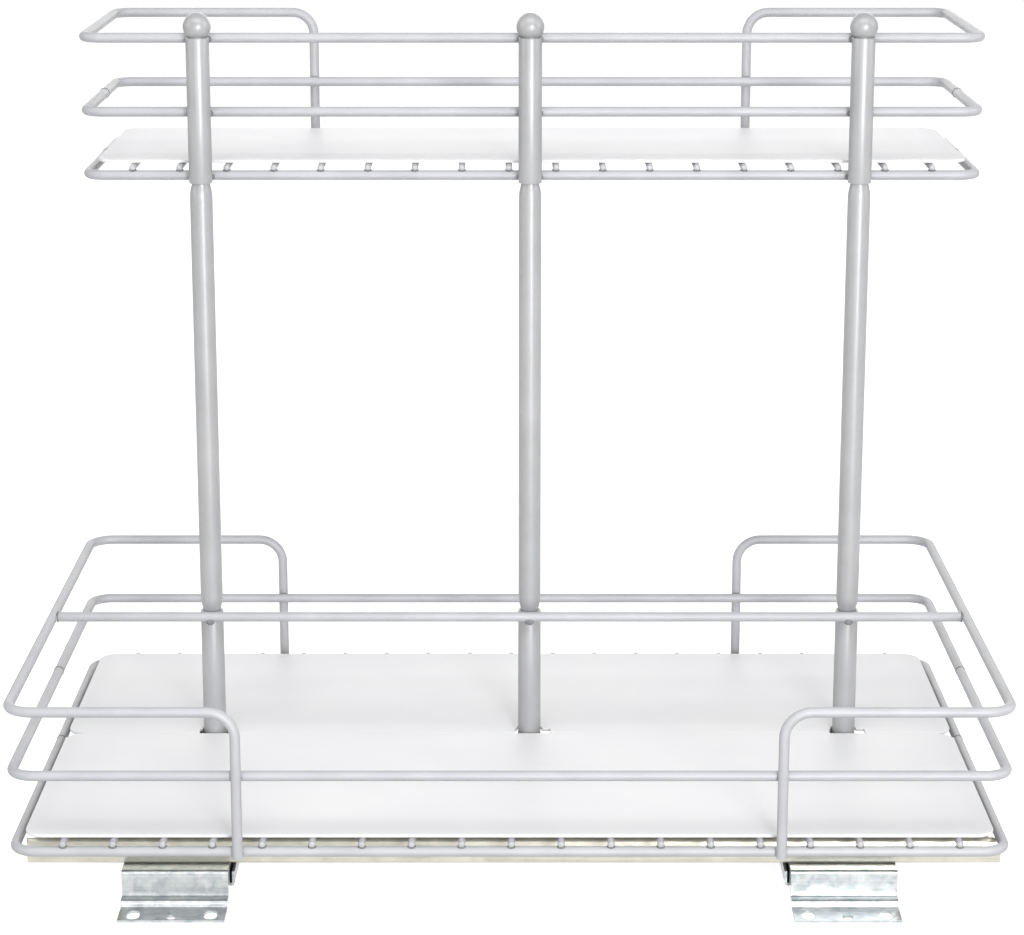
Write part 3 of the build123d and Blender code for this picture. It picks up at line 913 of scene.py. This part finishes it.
@dataclass
class PostStack:
    """One post: two sleeves, one on each basket, the necked tube between them and a ball on top."""

    place: str
    finishes: Finishes
    wall: float = 1.2 * MM
    neck_wall: float = 1.2 * MM
    neck_radius: float = 4.35 * MM
    shoulder: float = 5 * MM
    shoulder_round: float = 2.2 * MM
    shoulder_segments: int = 5
    ball_radius: float = 6.7 * MM
    plug: float = 12 * MM
    lip_round: float = 0.35 * MM
    lip_segments: int = 3
    bore_lip_segments: int = 2
    sides: int = 40
    ball_rings: int = 24
    nub: tuple[float, float, float] = (2.3 * MM, 1.4 * MM, 2.0 * MM)
    nub_stand: float = 0.3 * MM
    nub_rise: float = 0.4 * MM
    side_bead: tuple[float, float, float] = (1.3 * MM, 1.8 * MM, 1.6 * MM)
    side_bead_stand: float = 1.2 * MM
    side_bead_drop: float = 0.5 * MM
    side_bead_turn: float = math.radians(48)

    def node(self, part: str) -> str:
        """The frame's node of one part of this post."""
        return f"{part}_{self.place}"

    def turn_up(self, bm: bmesh.types.BMesh, centre: Vector, profile: list[tuple[float, float]],
                rounds: list[tuple[float, float, float, int]]) -> None:
        """Spin a profile round the post's axis and round some of its rims.

        Args:
            bm: an empty mesh.
            centre: a point on the axis.
            profile: radius and height of each corner, closed from the last to the first.
            rounds: radius and height of a rim, the size of its round, and its segments.
        """
        verts = [bm.verts.new((centre.x + radius, centre.y, height)) for radius, height in profile]
        edges = [bm.edges.new((one, other)) for one, other in zip(verts, verts[1:] + verts[:1])]
        bmesh.ops.spin(bm, geom=verts + edges, cent=centre, axis=(0, 0, 1), dvec=(0, 0, 0), angle=FULL_TURN,
                       steps=self.sides, use_merge=True, use_duplicate=False)
        bmesh.ops.remove_doubles(bm, verts=bm.verts[:], dist=MERGE_DISTANCE)
        for radius, height, size, segments in rounds:
            rim = [edge for edge in bm.edges if all(
                abs(vert.co.z - height) < MERGE_DISTANCE
                and abs(math.hypot(vert.co.x - centre.x, vert.co.y - centre.y) - radius) < MERGE_DISTANCE
                for vert in edge.verts)]
            bmesh.ops.bevel(bm, geom=rim, offset=size, segments=segments, profile=0.5, affect="EDGES",
                            material=-1)

    def build(self) -> None:
        """Make every piece of the post."""
        self.build_sleeve("lower_sleeve")
        self.build_sleeve("upper_sleeve")
        self.build_tube()
        self.build_finial()
        self.build_welds()

    def build_sleeve(self, part: str) -> None:
        """Make one sleeve, a short tube with rounded lips.

        Args:
            part: which sleeve.
        """
        box = Box.of_node(self.node(part))
        outer = box.size.x / 2
        inner = outer - self.wall
        low, high = box.low.z, box.high.z
        bm = bmesh.new()
        rounds = [(radius, level, self.lip_round, segments)
                  for radius, segments in ((outer, self.lip_segments), (inner, self.bore_lip_segments))
                  for level in (low, high)]
        self.turn_up(bm, box.middle, [(inner, low), (outer, low), (outer, high), (inner, high)], rounds)
        present(bm, f"{self.node(part)}_tube", Body.BASKET, self.finishes.post,
                (self.node(part),))

    def build_tube(self) -> None:
        """Make the post, a tube swaged down to a neck at both ends."""
        box = Box.of_node(self.node("post"))
        lower_lip = Box.of_node(self.node("lower_sleeve")).high.z
        upper_lip = Box.of_node(self.node("upper_sleeve")).low.z
        outer = box.size.x / 2
        neck, bore = self.neck_radius, self.neck_radius - self.neck_wall
        low, high = box.low.z, box.high.z
        shoulder_low, shoulder_high = lower_lip + self.shoulder, upper_lip - self.shoulder
        bm = bmesh.new()
        self.turn_up(bm, box.middle, [
            (bore, low), (neck, low), (neck, lower_lip + self.lip_round), (outer, shoulder_low),
            (outer, shoulder_high), (neck, upper_lip - self.lip_round), (neck, high), (bore, high)],
            [(outer, level, self.shoulder_round, self.shoulder_segments)
             for level in (shoulder_low, shoulder_high)])
        present(bm, f"{self.node('post')}_tube", Body.BASKET, self.finishes.post,
                (self.node("post"),))

    def build_finial(self) -> None:
        """Make the ball on top, cut flat over the sleeve, with the plug that holds it."""
        box = Box.of_node(self.node("finial"))
        lip = Box.of_node(self.node("upper_sleeve")).high.z
        centre = Vector((box.middle.x, box.middle.y, box.high.z - self.ball_radius))
        seat = box.low.z + self.plug
        bm = bmesh.new()
        bmesh.ops.create_uvsphere(bm, u_segments=self.sides, v_segments=self.ball_rings,
                                  radius=self.ball_radius, matrix=Matrix.Translation(centre))
        bmesh.ops.bisect_plane(bm, geom=bm.verts[:] + bm.edges[:] + bm.faces[:], plane_co=(0, 0, seat),
                               plane_no=(0, 0, -1), clear_outer=True)
        rim = [edge for edge in bm.edges if edge.is_boundary]
        FRAME_WIRE.close_end(bm, rim)
        plug_middle = (seat + box.low.z) / 2
        bmesh.ops.create_cone(bm, cap_ends=True, segments=self.sides, radius1=self.neck_radius,
                              radius2=self.neck_radius, depth=self.plug,
                              matrix=Matrix.Translation((centre.x, centre.y, plug_middle)))
        log.info("%s stands %.2f mm over its sleeve", self.node("finial"), (seat - lip) / MM)
        present(bm, f"{self.node('finial')}_ball", Body.BASKET, self.finishes.post,
                (self.node("finial"),))

    def build_welds(self) -> None:
        """Make the nub under the sleeve rail and the beads beside the upper wires."""
        sleeve = Box.of_node(self.node("upper_sleeve"))
        lower = Box.of_node(self.node("lower_sleeve"))
        rail = Box.of_node("sleeve_rail")
        reach = sleeve.size.x / 2 + self.side_bead_stand
        aside, behind = reach * math.sin(self.side_bead_turn), reach * math.cos(self.side_bead_turn)
        bm = bmesh.new()
        nub_depth = rail.low.y + self.nub[1] - self.nub_stand
        BEAD.add(bm, Vector((lower.middle.x, nub_depth, rail.low.z + self.nub_rise)), self.nub)
        for node in ("upper_bottom_ring", "upper_mid_ring", "upper_top_rail"):
            box = Box.of_node(node)
            height = box.high.z - FRAME_WIRE.radius - self.side_bead_drop
            for sign in (-1, 1):
                BEAD.add(bm, Vector((sleeve.middle.x + sign * aside, sleeve.middle.y + behind, height)),
                         self.side_bead)
        present(bm, f"{self.node('post')}_welds", Body.BASKET, self.finishes.weld)


def soften(bm: bmesh.types.BMesh, size: float, sharper_than: float = SHEET_EDGE_ANGLE,
           segments: int = 2) -> None:
    """Round the sharp edges of bent sheet.

    Args:
        bm: the mesh.
        size: how wide the round is.
        sharper_than: the least angle between two faces of an edge that is rounded.
        segments: the round's segments.
    """
    edges = [edge for edge in bm.edges
             if len(edge.link_faces) == 2 and edge.calc_face_angle() > sharper_than]
    bmesh.ops.bevel(bm, geom=edges, offset=size, segments=segments, profile=0.5, affect="EDGES",
                    material=-1, clamp_overlap=True)


@dataclass
class Liners:
    """The loose plastic sheets on both floors."""

    finishes: Finishes
    edge_round: float = 0.3 * MM

    def build(self) -> None:
        """Make the three sheets."""
        for node, body in (("lower_liner_front", Body.FRONT_LINER), ("lower_liner_back", Body.BACK_LINER),
                           ("upper_liner", Body.TOP_LINER)):
            bm = merged_copy(node)
            soften(bm, self.edge_round)
            present(bm, f"{node}_sheet", body, self.finishes.liner, (node,),
                    even_normals=True)


@dataclass
class SlideRail:
    """One ball bearing slide: three nested members, two ball cages and their balls."""

    side: str
    finishes: Finishes
    edge_round: float = 0.18 * MM
    ball_sides: int = 20
    ball_rings: int = 12
    ball_radius: float = 1.55 * MM

    def body(self, part: str) -> Body:
        """The body of one part of this slide."""
        return Body(f"{part}_{self.side}")

    def build(self) -> None:
        """Make every piece of the slide."""
        plate = self.finishes.slide
        riders = (("slide_outer", Body.BASE, plate),
                  ("slide_middle", self.body("middle"), self.finishes.middle_slide),
                  ("slide_inner", Body.BASKET, self.finishes.inner_slide),
                  ("outer_ball_cage", self.body("outer_cage"), plate),
                  ("inner_ball_cage", self.body("inner_cage"), plate))
        for part, body, finish in riders:
            node = f"{part}_{self.side}"
            bm = merged_copy(node)
            soften(bm, self.edge_round)
            present(bm, f"{node}_sheet", body, finish, (node,), even_normals=True)
        for row in ("outer", "inner"):
            node = f"{row}_balls_{self.side}"
            bm = bmesh.new()
            for box in boxes_of_solids(node):
                bmesh.ops.create_uvsphere(bm, u_segments=self.ball_sides, v_segments=self.ball_rings,
                                          radius=self.ball_radius, matrix=Matrix.Translation(box.middle))
            present(bm, f"{node}_round", self.body(f"{row}_cage"), self.finishes.ball, (node,))


@dataclass
class CrossMembers:
    """The two pressed cross-members that carry the slides."""

    finishes: Finishes
    edge_round: float = 0.2 * MM

    def build(self) -> None:
        """Make both cross-members."""
        for end in ("left", "right"):
            node = f"cross_member_{end}"
            bm = merged_copy(node)
            soften(bm, self.edge_round)
            present(bm, f"{node}_pressing", Body.BASE, self.finishes.member, (node,),
                    even_normals=True)


@dataclass
class SetRivets:
    """A group of steel rivets, each with a head below, and one above where it is raised."""

    node: str
    body: Body
    finishes: Finishes
    head_height: float = 1.2 * MM
    head_share: float = 0.57
    shank_share: float = 0.57
    head_round: float = 0.35 * MM
    head_segments: int = 3
    head_edge_angle: float = math.radians(35)
    raised: bool = True
    sides: int = 24

    def build(self) -> None:
        """Make the rivets."""
        bm = bmesh.new()
        for box in boxes_of_solids(self.node):
            radius = box.size.x / 2
            for level, sign in ((box.low.z, -1), (box.high.z, 1)):
                if sign > 0 and not self.raised:
                    continue
                middle = Vector((box.middle.x, box.middle.y, level - sign * self.head_height / 2))
                upside = Matrix.Rotation(HALF_TURN if sign < 0 else 0, 4, "X")
                bmesh.ops.create_cone(bm, cap_ends=True, segments=self.sides, radius1=radius,
                                      radius2=radius * self.head_share, depth=self.head_height,
                                      matrix=Matrix.Translation(middle) @ upside)
            bmesh.ops.create_cone(bm, cap_ends=True, segments=self.sides, radius1=radius * self.shank_share,
                                  radius2=radius * self.shank_share, depth=box.size.z,
                                  matrix=Matrix.Translation(box.middle))
        soften(bm, self.head_round, self.head_edge_angle, self.head_segments)
        present(bm, f"{self.node}_round", self.body, self.finishes.rivet, (self.node,))


@dataclass
class MountingTabs:
    """The hat-shaped plates between the floor wires and the slides."""

    finishes: Finishes
    edge_round: float = 0.2 * MM
    edge_angle: float = math.radians(40)

    def build(self) -> None:
        """Make the six tabs."""
        bm = merged_copy("mounting_tabs")
        soften(bm, self.edge_round, self.edge_angle)
        present(bm, "mounting_tab_plates", Body.BASKET, self.finishes.wire, ("mounting_tabs",),
                even_normals=True)


@dataclass(frozen=True)
class Lamp:
    """One soft box."""

    name: str
    place: tuple[float, float, float]
    size: tuple[float, float]
    power: float

    def build(self, aim: Vector) -> None:
        """Hang the lamp.

        Args:
            aim: the point that it faces.
        """
        light = bpy.data.lights.new(self.name, "AREA")
        light.shape = "RECTANGLE"
        light.size, light.size_y = self.size
        light.energy = self.power
        lamp = bpy.data.objects.new(self.name, light)
        lamp.location = self.place
        lamp.rotation_mode = "QUATERNION"
        lamp.rotation_quaternion = (aim - lamp.location).to_track_quat("-Z", "Y")
        bpy.context.scene.collection.objects.link(lamp)


@dataclass
class Studio:
    """The pale floor, the white surround, the soft lamps and the photograph's camera."""

    focal_px: float = 2918.0
    image_width_px: float = 1024.0
    side_offset_px: float = 0.8
    sensor_mm: float = 36.0
    camera_place: tuple[float, float, float] = (0.75 * MM, -1390 * MM, 532.7 * MM)
    camera_pitch: float = math.radians(14.311)
    camera_reach: tuple[float, float] = (0.05, 100.0)
    floor_size: float = 40.0
    # The surround is white where it is seen and lights the organizer with less. The glow makes up for the
    # light that the floor's paper keeps, also only where the floor is seen.
    surround: str = "FFFFFF"
    surround_light: float = 0.37
    floor_glow: float = 0.83
    floor_colour: str = "C2C2C2"
    lamp_aim: tuple[float, float, float] = (0.0, 0.0, 0.2)
    lamps: tuple[Lamp, ...] = (
        Lamp("key_softbox", (0.5, -1.9, 0.42), (0.45, 0.8), 25.0),
        Lamp("fill_softbox", (-0.5, -1.9, 0.35), (0.5, 0.6), 4.0),
        Lamp("left_softbox", (-1.9, -0.5, 1.1), (1.0, 1.4), 7.0),
        Lamp("right_softbox", (1.9, -0.4, 1.1), (1.0, 1.4), 9.0),
        Lamp("rear_softbox", (0.0, 2.2, 0.8), (2.4, 1.0), 14.0),
        Lamp("top_softbox", (0.0, -1.0, 2.0), (2.2, 1.0), 19.0))

    def build(self) -> None:
        """Set up the studio."""
        scene = bpy.context.scene
        scene.view_settings.view_transform = "Standard"
        self.build_camera()
        self.build_surround()
        self.build_floor()
        for lamp in self.lamps:
            lamp.build(Vector(self.lamp_aim))

    def build_camera(self) -> None:
        """Place the camera."""
        data = bpy.data.cameras.new("photo_camera")
        data.sensor_width = self.sensor_mm
        data.lens = self.focal_px / self.image_width_px * self.sensor_mm
        data.shift_x = self.side_offset_px / self.image_width_px
        data.clip_start, data.clip_end = self.camera_reach
        camera = bpy.data.objects.new("photo_camera", data)
        camera.location = self.camera_place
        camera.rotation_euler = (QUARTER_TURN - self.camera_pitch, 0, 0)
        bpy.context.scene.collection.objects.link(camera)
        bpy.context.scene.camera = camera

    def seen_directly(self, tree: bpy.types.NodeTree) -> bpy.types.NodeSocket:
        """Tell where the surround is seen: by the camera, in metal or through something clear.

        Args:
            tree: the node tree of the world or of the floor.

        Returns:
            A factor that is 1 for such a ray.
        """
        path = add_node(tree, "ShaderNodeLightPath")
        straight = add_node(tree, "ShaderNodeMath", {"operation": "MAXIMUM"}, {
            0: path.outputs["Is Camera Ray"], 1: path.outputs["Is Transmission Ray"]})
        seen = add_node(tree, "ShaderNodeMath", {"operation": "MAXIMUM"}, {
            0: straight.outputs["Value"], 1: path.outputs["Is Glossy Ray"]})
        return seen.outputs["Value"]

    def build_surround(self) -> None:
        """Make the world: white where it is seen, and softer where it lights."""
        world = bpy.data.worlds.new("white_surround")
        bpy.context.scene.world = world
        world.use_nodes = True
        tree = world.node_tree
        tree.nodes.clear()
        strength = add_node(tree, "ShaderNodeMix", {"data_type": "FLOAT"}, {
            "Factor": self.seen_directly(tree), 2: self.surround_light, 3: 1.0})
        glow = add_node(tree, "ShaderNodeBackground", inputs={
            "Color": linear(self.surround), "Strength": strength.outputs[0]})
        add_node(tree, "ShaderNodeOutputWorld", inputs={"Surface": glow.outputs["Background"]})

    def build_floor(self) -> None:
        """Make the floor, which keeps the organizer's shadow."""
        bm = bmesh.new()
        bmesh.ops.create_grid(bm, x_segments=1, y_segments=1, size=self.floor_size / 2)
        mesh = bpy.data.meshes.new("studio_floor")
        bm.to_mesh(mesh)
        bm.free()
        material = bpy.data.materials.new("studio_floor_paper")
        material.use_nodes = True
        tree = material.node_tree
        tree.nodes.clear()
        paper = add_node(tree, "ShaderNodeBsdfDiffuse", inputs={"Color": linear(self.floor_colour)})
        strength = add_node(tree, "ShaderNodeMath", {"operation": "MULTIPLY"}, {
            0: self.seen_directly(tree), 1: self.floor_glow})
        glow = add_node(tree, "ShaderNodeEmission", inputs={
            "Color": linear(self.surround), "Strength": strength.outputs["Value"]})
        both = add_node(tree, "ShaderNodeAddShader", inputs={
            0: paper.outputs["BSDF"], 1: glow.outputs["Emission"]})
        add_node(tree, "ShaderNodeOutputMaterial", inputs={"Surface": both.outputs["Shader"]})
        mesh.materials.append(material)
        floor = bpy.data.objects.new("studio_floor", mesh)
        bpy.context.scene.collection.objects.link(floor)


def main() -> None:
    """Build the studio and every sub-assembly, in order."""
    logging.basicConfig(level=logging.INFO)
    Studio().build()
    finishes = Finishes.build()
    LowerBasket(finishes).build()
    UpperBasket(finishes).build()
    for place in ("left", "centre", "right"):
        PostStack(place, finishes).build()
    Liners(finishes).build()
    for side in ("front", "back"):
        SlideRail(side, finishes).build()
    CrossMembers(finishes).build()
    MountingTabs(finishes).build()
    SetRivets("tab_rivets", Body.BASKET, finishes).build()
    SetRivets("base_rivets", Body.BASE, finishes, raised=False).build()


if __name__ == "__main__":
    main()
